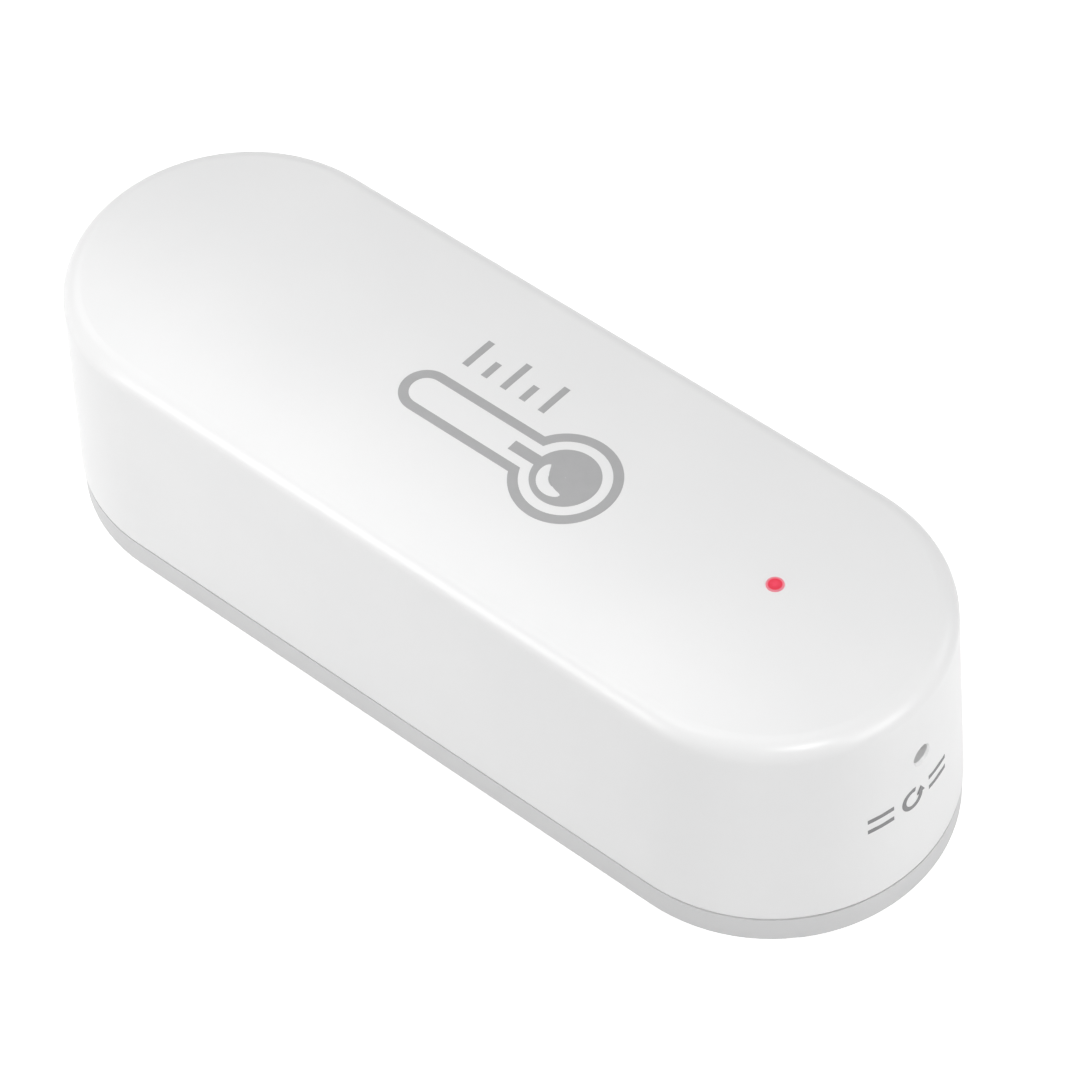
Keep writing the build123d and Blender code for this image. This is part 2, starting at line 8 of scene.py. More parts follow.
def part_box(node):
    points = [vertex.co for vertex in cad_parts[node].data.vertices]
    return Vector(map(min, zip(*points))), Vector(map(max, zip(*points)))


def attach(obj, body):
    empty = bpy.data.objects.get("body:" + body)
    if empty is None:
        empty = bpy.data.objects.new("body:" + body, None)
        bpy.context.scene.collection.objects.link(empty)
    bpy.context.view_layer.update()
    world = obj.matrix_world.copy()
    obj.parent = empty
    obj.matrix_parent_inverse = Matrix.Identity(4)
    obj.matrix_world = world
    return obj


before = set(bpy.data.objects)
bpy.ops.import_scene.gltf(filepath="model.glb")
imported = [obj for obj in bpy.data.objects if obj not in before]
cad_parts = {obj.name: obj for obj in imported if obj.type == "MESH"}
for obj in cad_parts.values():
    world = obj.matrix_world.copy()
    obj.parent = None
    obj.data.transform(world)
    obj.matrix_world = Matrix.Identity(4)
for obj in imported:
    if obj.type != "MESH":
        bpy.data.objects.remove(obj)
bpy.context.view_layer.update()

# The whole sensor: a white pill-shaped case with two cells, their tray and a circuit
# board inside it. Sizes here are in millimetres, and mm turns them into the frame's
# metres.
mm = 0.001


# The camera stands above the near long side, to the right of its middle, and is
# tilted a little. It looks just right of the case's middle, through a long lens.
camera_azimuth = 43.543
camera_elevation = 50.483
camera_roll = -3.960
camera_target = Vector((3.135, 0.300, 10.2))
camera_distance = 300
nearest_seen = 10
sensor_width = 36
picture_width = 1080
focal_pixels = 4474.12


def add_object(name, data):
    """Puts a mesh, a lamp or a camera into the scene as an object."""
    thing = bpy.data.objects.new(name, data)
    bpy.context.scene.collection.objects.link(thing)
    return thing


def aim(thing, target, azimuth, elevation, distance, roll=0):
    """Stands a camera or a lamp off a target, by angles from its near side, facing it."""
    azimuth, elevation = math.radians(azimuth), math.radians(elevation)
    flat = math.cos(elevation)
    way = Vector((math.sin(azimuth) * flat, -math.cos(azimuth) * flat, math.sin(elevation)))
    thing.location = (target + way * distance) * mm
    thing.rotation_mode = "QUATERNION"
    tilt = Quaternion((0, 0, 1), math.radians(roll))
    thing.rotation_quaternion = way.to_track_quat("Z", "Y") @ tilt


optics = bpy.data.cameras.new("camera")
optics.sensor_width = sensor_width
optics.lens = sensor_width * focal_pixels / picture_width
optics.clip_start = nearest_seen * mm
camera = add_object("camera", optics)
aim(camera, camera_target, camera_azimuth, camera_elevation, camera_distance, camera_roll)
bpy.context.scene.camera = camera


# The studio: a table that the camera sees as pure white, though it lights the case as
# pale grey card would, and soft lamps. A small one close by on the near left makes the
# long side fade to the right. The others light the right end, the back, the top and rim.
table_radius = 2000
table_gap = 0.02
table_grey = (0.62, 0.62, 0.62, 1)
table_glow = 0.72
white_light = (1, 1, 1, 1)
surroundings_level = 0.1
lamp_target = Vector((0, 0, 0))
lamp_distance = 800


class Value:
    """A number or colour from a node, with Python's operators for shader maths."""

    def __init__(self, finish, socket):
        self.finish = finish
        self.socket = socket

    def joined(self, operation, first, second=0):
        """A Math node of one value or two."""
        return self.finish.add("ShaderNodeMath", {"operation": operation}, {0: first, 1: second})

    def __add__(self, other):
        return self.joined("ADD", self, other)

    def __radd__(self, other):
        return self.joined("ADD", other, self)

    def __sub__(self, other):
        return self.joined("SUBTRACT", self, other)

    def __rsub__(self, other):
        return self.joined("SUBTRACT", other, self)

    def __mul__(self, other):
        return self.joined("MULTIPLY", self, other)

    def __rmul__(self, other):
        return self.joined("MULTIPLY", other, self)

    def __truediv__(self, other):
        return self.joined("DIVIDE", self, other)

    def __rtruediv__(self, other):
        return self.joined("DIVIDE", other, self)

    def __pow__(self, other):
        return self.joined("POWER", self, other)

    def __rpow__(self, other):
        return self.joined("POWER", other, self)

    def __and__(self, other):
        return self.joined("MINIMUM", self, other)

    def __rand__(self, other):
        return self.joined("MINIMUM", other, self)

    def __or__(self, other):
        return self.joined("MAXIMUM", self, other)

    def __ror__(self, other):
        return self.joined("MAXIMUM", other, self)

    def __lt__(self, other):
        return self.joined("LESS_THAN", self, other)

    def __gt__(self, other):
        return self.joined("GREATER_THAN", self, other)

    def __abs__(self):
        return self.joined("ABSOLUTE", self)


class Finish:
    """The nodes of one material, or of the surroundings."""

    def __init__(self, owner):
        self.owner = owner
        owner.use_nodes = True
        self.tree = owner.node_tree
        self.tree.nodes.clear()

    def add(self, kind, settings=(), sockets=(), out=0):
        """Adds one node: its settings first, then the values or links of its sockets."""
        node = self.tree.nodes.new(kind)
        for name, setting in dict(settings).items():
            setattr(node, name, setting)
        for name, value in dict(sockets).items():
            if isinstance(value, Value):
                self.tree.links.new(value.socket, node.inputs[name])
            else:
                node.inputs[name].default_value = value
        if isinstance(out, tuple):
            return [Value(self, node.outputs[name]) for name in out]
        return Value(self, node.outputs[out]) if node.outputs else None


def seen_directly(finish):
    """1 for the camera's own rays and for what shows in gloss or through glass."""
    camera_ray, glossy_ray, through_ray = finish.add(
        "ShaderNodeLightPath", out=("Is Camera Ray", "Is Glossy Ray", "Is Transmission Ray")
    )
    return camera_ray | glossy_ray | through_ray


def light_surroundings():
    """White to the eye, and an even, weaker light on the case."""
    finish = Finish(bpy.data.worlds.new("studio"))
    bpy.context.scene.world = finish.owner
    seen = seen_directly(finish)
    strength = seen + (1 - seen) * surroundings_level
    shader = finish.add("ShaderNodeBackground", sockets={"Color": white_light, "Strength": strength})
    finish.add("ShaderNodeOutputWorld", sockets={"Surface": shader})


def add_table():
    """A round white table top just under the case."""
    mesh = bpy.data.meshes.new("table")
    shape = bmesh.new()
    bmesh.ops.create_circle(shape, cap_ends=True, segments=96, radius=table_radius * mm)
    shape.to_mesh(mesh)
    shape.free()
    table = add_object("table", mesh)
    table.location.z = -table_gap * mm
    finish = Finish(bpy.data.materials.new("white_table"))
    matt = finish.add("ShaderNodeBsdfDiffuse", sockets={"Color": table_grey})
    glow = finish.add("ShaderNodeEmission", sockets={"Color": white_light, "Strength": table_glow})
    lit = finish.add("ShaderNodeAddShader", sockets={0: matt, 1: glow})
    shader = finish.add("ShaderNodeMixShader", sockets={0: seen_directly(finish), 1: matt, 2: lit})
    finish.add("ShaderNodeOutputMaterial", sockets={"Surface": shader})
    mesh.materials.append(finish.owner)


def add_lamp(name, azimuth, elevation, size, watts, distance=lamp_distance):
    """A square soft lamp that faces the case, by its direction seen from the case."""
    light = bpy.data.lights.new(name, "AREA")
    light.size = size * mm
    light.energy = watts
    aim(add_object(name, light), lamp_target, azimuth, elevation, distance)


add_table()
light_surroundings()
add_lamp("near_lamp", azimuth=-25, elevation=18, size=80, watts=0.099, distance=180)
add_lamp("right_lamp", azimuth=96, elevation=12, size=450, watts=2.75)
add_lamp("back_lamp", azimuth=145, elevation=16, size=250, watts=0.5)
add_lamp("rim_lamp", azimuth=60, elevation=42, size=150, watts=1.8)
add_lamp("high_left_lamp", azimuth=-93, elevation=42, size=450, watts=1.55)
add_lamp("high_near_lamp", azimuth=-30, elevation=60, size=300, watts=1.03)
add_lamp("high_far_lamp", azimuth=-110, elevation=66, size=250, watts=0.78)
add_lamp("overhead_lamp", azimuth=0, elevation=88, size=450, watts=1.05)
bpy.context.scene.view_settings.view_transform = "Standard"


# The housing is one moulding of white ABS: smooth and satin outside from a finely
# eroded mould, and plainer inside, where it was never meant to be seen. Inside it is
# also painted a little greyer, as painted shade. Its sides lean in a little, and its
# top is crowned.
def box(node):
    """A solid's lowest and highest corners, in millimetres."""
    return [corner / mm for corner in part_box(node)]


housing_low, housing_high = box("housing")
mouth_z = housing_low.z
case_top = housing_high.z
case_half_width = housing_high.y
end_x = housing_high.x - case_half_width
foot_height = 0.36
widest_z = mouth_z + foot_height
case_wall = 1.6
case_roof = 1.8
ceiling_share = 0.8
draft_angle = 2.5
side_slope = math.tan(math.radians(draft_angle))


class SolidFinish(Finish):
    """A piece's finish, worked out from the point being shaded, in millimetres."""

    def __init__(self, name):
        super().__init__(bpy.data.materials.new(name))
        place = self.add("ShaderNodeTexCoord", out="Object")
        scaling = {0: place, "Scale": 1 / mm}
        self.point = self.add("ShaderNodeVectorMath", {"operation": "SCALE"}, scaling)
        parts = self.add("ShaderNodeSeparateXYZ", sockets={0: self.point}, out=(0, 1, 2))
        self.x, self.y, self.z = parts

    def noise(self, per_mm, detail=2, shares=None):
        """Cloudy noise around a half. Shares for the axes make a grain that runs one way."""
        point = self.point
        if shares:
            point = self.add("ShaderNodeVectorMath", {"operation": "MULTIPLY"}, {0: point, 1: shares})
        sockets = {"Vector": point, "Scale": per_mm, "Detail": detail}
        return self.add("ShaderNodeTexNoise", sockets=sockets)

    def step(self, value, low, high, first=0, last=1):
        """A smooth step from one number to another as the value goes from low to high."""
        sockets = {0: value, 1: low, 2: high, 3: first, 4: last}
        return self.add("ShaderNodeMapRange", {"interpolation_type": "SMOOTHSTEP"}, sockets)

    def fade(self, value, width):
        """1 where the value is nought, going smoothly down to 0 over a width."""
        return self.step(value, 0, width, 1, 0)

    def blend(self, share, first, second):
        """Two colours mixed by a share, through the node's own colour sockets."""
        sockets = {0: share, 6: first, 7: second}
        return self.add("ShaderNodeMix", {"data_type": "RGBA"}, sockets, out=2)

    def bump(self, height, depth):
        """Surface relief: the height times a depth in millimetres."""
        return self.add("ShaderNodeBump", sockets={"Height": height, "Distance": depth * mm})

    def surface(self, sockets):
        """Closes the material with the standard surface shader."""
        shader = self.add("ShaderNodeBsdfPrincipled", sockets=sockets)
        self.add("ShaderNodeOutputMaterial", sockets={"Surface": shader})
        return self.owner


def off_axis(across, along):
    """How far a point is from an axis, by its distances in two square directions."""
    return (across * across + along * along) ** 0.5


def off_the_spine(x, y):
    """How far a point is, seen from above, from the line between the two end centres."""
    return off_axis((abs(x) - end_x) | 0, y)


def white_plastic(name, light, dark, roughness):
    """White moulded plastic with a fine grain, faint clouding and a satin gloss."""
    finish = SolidFinish(name)
    clouds = finish.noise(per_mm=0.09, detail=3)
    grain = finish.noise(per_mm=7, detail=3)
    colour = finish.blend(finish.step(clouds, 0.3, 0.7), dark, light)
    return finish, colour, roughness + 0.10 * grain, grain


def housing_plastic():
    """The outside is finely grained. The inside is smoother, and painted greyer as shade."""
    # The inner grey is painted shade: the same white, made greyer inside the shell.
    light, dark, inner = (0.80, 0.80, 0.80, 1), (0.786, 0.787, 0.788, 1), (0.70, 0.70, 0.69, 1)
    finish, colour, roughness, grain = white_plastic("housing_plastic", light, dark, roughness=0.27)
    wall_middle = case_half_width - case_wall / 2 - side_slope * (finish.z - widest_z)
    ceiling_z = case_top - case_roof * ceiling_share
    inside = (off_the_spine(finish.x, finish.y) < wall_middle) & (finish.z < ceiling_z)
    flow = finish.noise(per_mm=1.2, shares=(0.15, 1, 1))
    relief = (1 - inside) * grain * 0.6 + inside * flow
    return finish.surface({
        "Base Color": finish.blend(inside, colour, inner),
        "Roughness": roughness - 0.08 * inside,
        "Normal": finish.bump(relief, depth=0.004),
    })


def paint(material, *nodes):
    """Gives solids of the frame their finish."""
    for node in nodes:
        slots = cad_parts[node].data.materials
        slots.clear()
        slots.append(material)


paint(housing_plastic(), "housing")


# The light pipe is a stepped pin of clear polycarbonate pressed up into the roof. Its
# tip shows as a small round dot and glows red when the lamp below it is lit. Here that
# glow is painted light: the pipe gives it off itself, paler round its rim, and faintly
# all along. The lamp is a small surface-mounted part: a white base with a moulded lens.
def tone(red, green, blue):
    """A colour from its levels on a screen, 0 to 255, by the usual curve of screens."""
    colour = []
    for level in (red, green, blue):
        share = level / 255
        curved = ((share + 0.055) / 1.055) ** 2.4
        colour.append(share / 12.92 if share <= 0.04045 else curved)
    return (*colour, 1)


pipe_low, pipe_high = box("light_pipe")
pipe_middle = (pipe_low + pipe_high) / 2
pipe_tip_radius = 0.6
pipe_core_share = 0.6
pipe_rim_shares = (0.72, 0.88)
lamp_pad = 0.28
lamp_chip_radius = 0.1
lamp_lens_radius = 0.5
lamp_red = tone(216, 22, 62)
lamp_core = tone(226, 44, 82)
lamp_edge = tone(214, 132, 146)


def pipe_plastic():
    """Clear plastic, its tip tinted and glowing red by painted light, paler round its rim."""
    # The red tint, the glow at the tip and the faint glow along the pipe are painted light.
    clear, lit, painted_stray_glow = (0.9, 0.88, 0.88, 1), (0.10, 0.01, 0.015, 1), (0.12, 0.01, 0.015, 1)
    finish = SolidFinish("pipe_plastic")
    aside = off_axis(finish.x - pipe_middle.x, finish.y - pipe_middle.y)
    at_tip = finish.step(finish.z, case_top - case_roof, case_top - case_roof / 2)
    core = finish.fade(aside, pipe_tip_radius * pipe_core_share)
    rim = finish.step(aside, *[pipe_tip_radius * share for share in pipe_rim_shares])
    glow = finish.blend(rim, finish.blend(core, lamp_red, lamp_core), lamp_edge)
    grain = finish.noise(per_mm=5)
    return finish.surface({
        "Base Color": finish.blend(at_tip, clear, lit),
        "Roughness": 0.16 + 0.12 * grain,
        "Transmission Weight": 0.5,
        "Emission Color": finish.blend(at_tip, painted_stray_glow, glow),
        "Emission Strength": 0.9,
        "Normal": finish.bump(grain, depth=0.004),
    })


def lamp_base_plastic():
    """White heat-proof plastic with a tinned pad at either end."""
    white, tin = (0.74, 0.73, 0.70, 1), (0.72, 0.70, 0.67, 1)
    finish = SolidFinish("lamp_base_plastic")
    low, high = box("lamp_base")
    pad = abs(finish.x - (low.x + high.x) / 2) > (high.x - low.x) / 2 - lamp_pad
    grain = finish.noise(per_mm=12)
    return finish.surface({
        "Base Color": finish.blend(pad, white, tin),
        "Metallic": pad * 0.95,
        "Roughness": 0.38 + 0.2 * grain - 0.1 * pad,
        "Normal": finish.bump(grain, depth=0.004),
    })


def lamp_lens_resin():
    """Clear resin lit red, deepest over the chip in its middle."""
    finish = SolidFinish("lamp_lens_resin")
    aside = off_axis(finish.x - pipe_middle.x, finish.y - pipe_middle.y)
    off_chip = finish.step(aside, lamp_chip_radius, lamp_lens_radius)
    grain = finish.noise(per_mm=9)
    return finish.surface({
        "Base Color": (0.8, 0.3, 0.3, 1),
        "Roughness": 0.14 + 0.1 * grain,
        "Transmission Weight": 0.4,
        "Emission Color": finish.blend(off_chip, lamp_core, lamp_edge),
        "Emission Strength": 1,
        "Normal": finish.bump(grain, depth=0.003),
    })


paint(pipe_plastic(), "light_pipe")
paint(lamp_base_plastic(), "lamp_base")
paint(lamp_lens_resin(), "lamp_lens")


# The thermometer is pad-printed in one grey ink on the crowned top: an outlined tube
# that runs into a round bulb, the liquid in the bulb with a highlight left bare, a
# short thread of liquid, and five scale strokes beside the tube.
ink_height = 0.012
ink_thickness = 0.03
weld_distance = 0.001
crown = 1.0
shoulder_radius = case_half_width - side_slope * (case_top - crown - widest_z)
crown_bow = (shoulder_radius**2 + crown**2) / (2 * crown)
ink_line = 0.70
tube_y = -0.80
tube_half = 1.51
tube_end = -6.75
bulb_x = 6.84
bulb_radius = 3.46
liquid_radius = 2.4
liquid_rings = (0.02, 0.6, 1.1)
liquid_turn_step = 4
highlight_radius = 1.5
highlight_half = 0.45
highlight_start, highlight_stop = 170, 296
thread_end = 2.25
thread_line = 0.85
scale_start, scale_step, scale_count = -4.75, 1.65, 5
scale_low, scale_long, scale_short = 2.55, 5.3, 4.1
scale_line = 0.52


def on_top(x, y):
    """A point of the ink's face on the crowned top."""
    height = case_top - crown_bow + math.sqrt(crown_bow**2 - y**2)
    return Vector((x, y, height + ink_height)) * mm


def arc(x, y, radius, start, stop, steps):
    """Points along an arc, by angles in degrees."""
    turns = [math.radians(start + (stop - start) * k / steps) for k in range(steps + 1)]
    return [(x + radius * math.cos(turn), y + radius * math.sin(turn)) for turn in turns]


def line(start, stop, steps):
    """Points along a straight line."""
    shares = [k / steps for k in range(steps + 1)]
    return [tuple(a + (b - a) * share for a, b in zip(start, stop)) for share in shares]


def stroke(points, width, closed=False):
    """The two edges of a line of even width through the points, with square ends."""
    path = [Vector(point) for point in points]
    count = len(path)
    sharpest = 0.5
    pairs = []
    for k, here in enumerate(path):
        before = path[k - 1] if k or closed else here
        after = path[(k + 1) % count] if k + 1 < count or closed else here
        first, last = (here - before).normalized(), (after - here).normalized()
        way = (first + last).normalized()
        half = width / 2 / max(way.dot(last if last.length else first), sharpest)
        side = Vector((-way.y, way.x)) * half
        pairs.append((here - side, here + side))
    return pairs + pairs[:1] if closed else pairs


def add_ink(name, strips, place, material):
    """A thin layer of ink, from strips of points side by side, laid on the housing."""
    mesh = bpy.data.meshes.new(name)
    shape = bmesh.new()
    for strip in strips:
        rows = [[shape.verts.new(place(*point)) for point in row] for row in strip]
        for near, far in zip(rows, rows[1:]):
            for k in range(len(near) - 1):
                shape.faces.new((near[k], far[k], far[k + 1], near[k + 1]))
    bmesh.ops.remove_doubles(shape, verts=shape.verts, dist=weld_distance * mm)
    bmesh.ops.recalc_face_normals(shape, faces=shape.faces)
    shape.to_mesh(mesh)
    shape.free()
    mesh.materials.append(material)
    ink = add_object(name, mesh)
    layer = ink.modifiers.new("layer", "SOLIDIFY")
    layer.thickness = ink_thickness * mm
    layer.offset = -1
    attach(ink, "housing")


def grey_ink(name, light, dark):
    """Matt grey ink, a little uneven where the pad lifted."""
    finish = SolidFinish(name)
    patches = finish.noise(per_mm=1.1, detail=4)
    grain = finish.noise(per_mm=14)
    return finish.surface({
        "Base Color": finish.blend(patches, dark, light),
        "Roughness": 0.42 + 0.2 * grain,
        "Normal": finish.bump(grain, depth=0.003),
    })


def thermometer_strips():
    """The outline, the liquid, the thread and the scale, as strips of points."""
    cap_x = tube_end + tube_half
    joint_turn = math.degrees(math.asin(tube_half / bulb_radius))
    joint_x = bulb_x - math.sqrt(bulb_radius**2 - tube_half**2)
    tube_low, tube_high = tube_y - tube_half, tube_y + tube_half
    outline = arc(bulb_x, tube_y, bulb_radius, joint_turn - 180, 180 - joint_turn, steps=72)
    outline += line((joint_x, tube_high), (cap_x, tube_high), steps=8)[1:]
    outline += arc(cap_x, tube_y, tube_half, 90, 270, steps=24)[1:]
    outline += line((cap_x, tube_low), (joint_x, tube_low), steps=8)[1:-1]
    thread_start = bulb_x - liquid_radius + thread_line / 2
    thread = line((thread_end, tube_y), (thread_start, tube_y), steps=3)
    strips = [stroke(outline, ink_line, closed=True), stroke(thread, thread_line)]
    for k in range(scale_count):
        x = scale_start + k * scale_step
        top = scale_short if k % 2 else scale_long
        strips.append(stroke(line((x, scale_low), (x, top), steps=6), scale_line))
    return strips + liquid_strips()


def liquid_strips():
    """The filled disc in the bulb, in two rings that part to leave the highlight bare."""
    middle = Vector((bulb_x, tube_y))
    inner, outer = [], []
    for turn in range(0, 360 + liquid_turn_step, liquid_turn_step):
        share = (turn - highlight_start) / (highlight_stop - highlight_start)
        gap = highlight_half * math.sqrt(math.sin(math.pi * share)) if 0 < share < 1 else 0
        way = Vector((math.cos(math.radians(turn)), math.sin(math.radians(turn))))
        radii = (*liquid_rings, highlight_radius - gap)
        inner.append([middle + way * radius for radius in radii])
        outer.append([middle + way * radius for radius in (highlight_radius + gap, liquid_radius)])
    return [inner, outer]


pale_ink = grey_ink("pale_ink", (0.395, 0.395, 0.40, 1), (0.35, 0.35, 0.355, 1))
add_ink("thermometer_print", thermometer_strips(), on_top, pale_ink)


# The mark for the reset hole is printed on the rounded end, under the hole, in a darker
# ink than the thermometer: a circling arrow between two pairs of short rules.
mark_z = 9.9
mark_turn = -4.5
arrow_radius = 0.80
arrow_line = 0.36
head_width = 0.78
head_length = 0.624
head_tip = 0.02
rule_gap = 1.7
rule_length = 2.1
rule_line = 0.36
rule_rise = 0.5


def on_end_wall(along, up):
    """A point of the ink's face on the leaning end wall, by its distance round the end."""
    z = mark_z + up
    radius = case_half_width - side_slope * (z - widest_z) + ink_height
    turn = math.radians(mark_turn) + along / case_half_width
    return Vector((end_x + radius * math.cos(turn), radius * math.sin(turn), z)) * mm


def reset_strips():
    """An open ring with an arrow head at one end, and two short rules on each side."""
    ring = arc(0, 0, arrow_radius, 70, 360, steps=40)
    head = [
        [(arrow_radius - width / 2, up), (arrow_radius + width / 2, up)]
        for width, up in ((head_width, 0), (head_tip, head_length))
    ]
    strips = [stroke(ring, arrow_line), head]
    for side in (-1, 1):
        for up in (-rule_rise, rule_rise):
            start, stop = (side * rule_gap, up), (side * (rule_gap + rule_length), up)
            strips.append(stroke(line(start, stop, steps=6), rule_line))
    return strips


dark_ink = grey_ink("dark_ink", (0.23, 0.23, 0.235, 1), (0.19, 0.19, 0.195, 1))
add_ink("reset_print", reset_strips(), on_end_wall, dark_ink)


# The base is a second moulding of the same plastic, painted a little greyer than the
# housing as painted shade on its low band. Its lip plugs the housing, its ribs hold the
# cells up, and a shallow recess underneath takes a pad.
base_pin_pitch = 11.0
base_pin_row = 6.2
base_pin_radius = 1.3
base_pin_line = 0.07
deck_skin = 0.02
foot_skin = 0.05


def folded(value, length):
    """Goes up to the length and down to nought again, over and over."""
    return value.joined("PINGPONG", value, length)


def pin_marks(finish, pitch, row, radius, line_width):
    """The thin rings that a mould's ejector pins leave, along one row or two."""
    aside = off_axis(folded(finish.x, pitch), abs(finish.y) - row)
    return finish.fade(abs(aside - radius), line_width)


def base_plastic():
    """White plastic greyed by painted shade, scuffed where it stands, pin-marked inside."""
    # The two greys are painted shade: the housing's white, darkened for the low band.
    light, dark, soiled = (0.625, 0.625, 0.628, 1), (0.605, 0.605, 0.608, 1), (0.52, 0.51, 0.49, 1)
    finish, colour, roughness, grain = white_plastic("base_plastic", light, dark, roughness=0.40)
    pins = pin_marks(finish, base_pin_pitch, base_pin_row, base_pin_radius, base_pin_line)
    on_deck = abs(finish.z - mouth_z) < deck_skin
    grit = finish.noise(per_mm=3, detail=3)
    scuffs = finish.noise(per_mm=1.6, detail=4, shares=(1, 0.12, 1))
    worn = (finish.z < foot_skin) * finish.step(scuffs, 0.55, 0.75)
    relief = grain * 0.6 + grit * 0.3 - pins * on_deck * 2
    return finish.surface({
        "Base Color": finish.blend(worn * 0.5, colour, soiled),
        "Roughness": roughness + 0.12 * worn,
        "Normal": finish.bump(relief, depth=0.006),
    })


paint(base_plastic(), "base_cover")


# Two AAA cells lie side by side, head to tail. Each is a drawn, nickel-plated steel can
# crimped over a nylon seal round its flat end plate. A printed film is shrunk over it.
film_band_share = 0.70
film_stripe_share = 0.012
film_shrunk_edge = 1.6
film_seam_turn = 2.2
film_seam_flat, film_seam_foot = 0.02, 0.05
sign_from_end = 4.6
sign_pitch = 5.5
sign_size = 2.0
sign_line = 0.55


def heading(across, along):
    """The angle round an axis, from a point's distances in two square directions."""
    return across.joined("ARCTAN2", across, along)


def sleeve_film(node, way):
    """Silver film with a green band at the plus end, signs, a seam and shrunk edges."""
    white, black = (0.72, 0.73, 0.73, 1), (0.06, 0.06, 0.065, 1)
    finish = SolidFinish(node + "_film")
    low, high = box(node)
    middle = (low + high) / 2
    length, radius = high.x - low.x, (high.z - low.z) / 2
    along = (finish.x - middle.x) * (way / length) + 0.5
    from_end = (1 - abs(2 * along - 1)) * (length / 2)
    turn = heading(finish.z - middle.z, finish.y - middle.y)
    across = abs(from_end - sign_from_end)
    beside = abs(folded(turn * radius, sign_pitch) - sign_pitch / 2)
    dash = (across < sign_size / 2) & (beside < sign_line / 2)
    upright = (across < sign_line / 2) & (beside < sign_size / 2)
    in_band = along > film_band_share
    stripe = abs(along - film_band_share) < film_stripe_share
    plus = in_band & (dash | upright)
    minus = (1 - in_band) & upright
    clouds = finish.noise(per_mm=0.25, detail=3)
    fine = finish.noise(per_mm=6, detail=3, shares=(0.05, 1, 1))
    creases = finish.noise(per_mm=2.2, detail=3, shares=(0.5, 1, 1))
    silver = finish.blend(clouds, (0.50, 0.51, 0.52, 1), (0.60, 0.61, 0.62, 1))
    green = finish.blend(clouds, (0.012, 0.13, 0.075, 1), (0.02, 0.17, 0.10, 1))
    colour = finish.blend(in_band, silver, green)
    colour = finish.blend(stripe | plus, colour, white)
    colour = finish.blend(minus, colour, black)
    at_edge = finish.fade(from_end, film_shrunk_edge)
    seam = finish.step(abs(turn - film_seam_turn), film_seam_flat, film_seam_foot, 1, 0)
    relief = fine * 0.15 + creases * at_edge + seam * 0.5
    return finish.surface({
        "Base Color": colour,
        "Metallic": (1 - (stripe | plus | minus)) * 0.55,
        "Roughness": 0.26 + 0.14 * fine + 0.1 * at_edge,
        "Normal": finish.bump(relief, depth=0.05),
        "Coat Weight": 0.25,
        "Coat Roughness": 0.15,
    })


def plated_metal(name, light, dark, roughness, shares=None, depth=0.004):
    """Plated sheet or wire: streaks along its rolling or drawing, and dull patches."""
    finish = SolidFinish(name)
    streaks = finish.noise(per_mm=9, detail=4, shares=shares)
    patches = finish.noise(per_mm=0.5, detail=4)
    sockets = {
        "Base Color": finish.blend(finish.step(patches, 0.3, 0.7), light, dark),
        "Metallic": 1,
        "Roughness": roughness + 0.16 * streaks + 0.12 * patches,
        "Normal": finish.bump(streaks, depth),
    }
    return finish, sockets


def spun_rings(finish, aside, per_mm):
    """Noise in rings round an axis, as spinning or turning leaves it on a face."""
    return finish.add("ShaderNodeTexNoise", {"noise_dimensions": "1D"}, {"W": aside, "Scale": per_mm})


def can_steel(node):
    """Nickel-plated steel, drawn along the can and spun smooth on its end faces."""
    light, dark = (0.66, 0.645, 0.61, 1), (0.55, 0.535, 0.50, 1)
    finish, sockets = plated_metal(node + "_steel", light, dark, roughness=0.20, shares=(0.06, 1, 1))
    low, high = box(node)
    middle = (low + high) / 2
    rings = spun_rings(finish, off_axis(finish.y - middle.y, finish.z - middle.z), per_mm=14)
    sockets["Normal"] = finish.bump(rings, depth=0.006)
    return finish.surface(sockets)


def dark_plastic(name, light, dark, roughness):
    """Dark moulded plastic with a fine matt grain and faint flow lines."""
    finish = SolidFinish(name)
    grain = finish.noise(per_mm=10, detail=3)
    flow = finish.noise(per_mm=1.5, shares=(0.3, 1, 1))
    return finish.surface({
        "Base Color": finish.blend(flow, dark, light),
        "Roughness": roughness + 0.2 * grain,
        "Normal": finish.bump(grain + flow * 0.5, depth=0.006),
    })


seal_nylon = dark_plastic("seal_nylon", (0.045, 0.045, 0.05, 1), (0.03, 0.03, 0.033, 1), 0.42)
filling_paste = dark_plastic("filling_paste", (0.05, 0.05, 0.05, 1), (0.02, 0.02, 0.02, 1), 0.75)
for cell, way in (("cell_a", 1), ("cell_b", -1)):
    paint(sleeve_film(cell + "_sleeve", way), cell + "_sleeve")
    for steel_piece in (cell + "_can", cell + "_end_plate"):
        paint(can_steel(steel_piece), steel_piece)
    paint(seal_nylon, cell + "_seal")
    paint(filling_paste, cell + "_filling")


# The tray is moulded from natural ABS, creamier than the case. Four zinc-plated pan
# head screws hold it and the board under the roof.
tray_pin_pitch = 9.0
tray_pin_radius = 1.1
tray_pin_line = 0.08
screw_head_radius = 1.5
screw_head_height = 0.92
screw_thread_pitch = 0.5
screw_ring_share = 0.05


def tray_plastic():
    """Cream-white plastic with flow marks, and pin marks on the roof over the cells."""
    light, dark = (0.62, 0.60, 0.55, 1), (0.57, 0.55, 0.50, 1)
    finish, colour, roughness, grain = white_plastic("tray_plastic", light, dark, roughness=0.36)
    flow = finish.noise(per_mm=0.9, detail=3, shares=(0.2, 1, 1))
    pins = pin_marks(finish, tray_pin_pitch, 0, tray_pin_radius, tray_pin_line)
    return finish.surface({
        "Base Color": colour,
        "Roughness": roughness + 0.06 * flow,
        "Normal": finish.bump(grain * 0.5 + flow * 0.6 - pins, depth=0.01),
    })


